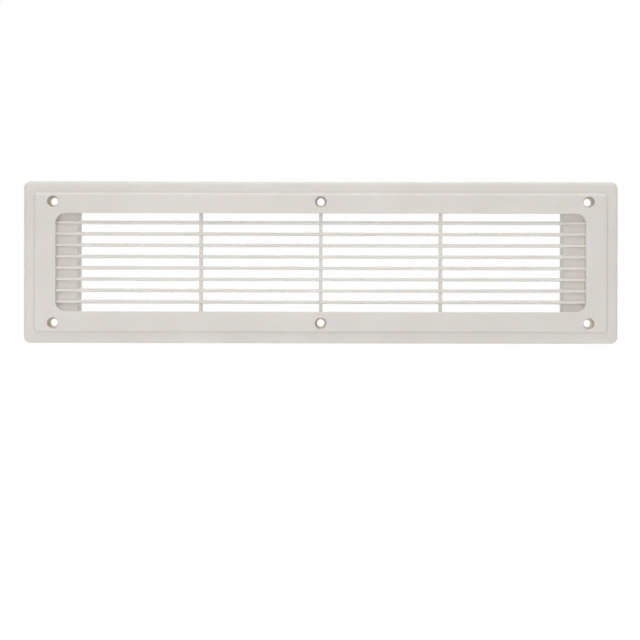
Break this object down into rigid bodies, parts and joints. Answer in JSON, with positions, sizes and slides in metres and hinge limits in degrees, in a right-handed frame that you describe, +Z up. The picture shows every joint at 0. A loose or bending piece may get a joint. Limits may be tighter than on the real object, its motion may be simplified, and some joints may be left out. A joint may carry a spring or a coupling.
{
  "type": "louvred vent grille",
  "caption": "Rectangular louvred vent grille that screws over a cut-out: stepped flange, fixed blades, recessed screw holes and a collar behind.",
  "frame": {"origin": "centre of the screw pattern, on the plane of the wall that the flange lies on", "axes": "+X along the blades, +Y into the wall, +Z up; the louvred face looks along -Y"},
  "size_m": [0.419, 0.021, 0.1142],
  "materials": {
    "moulded_plastic": "satin, fine moulded grain, warm off-white"
  },
  "bodies": {
    "root": {"vent_grille": "moulded_plastic"}
  },
  "joints": []
}
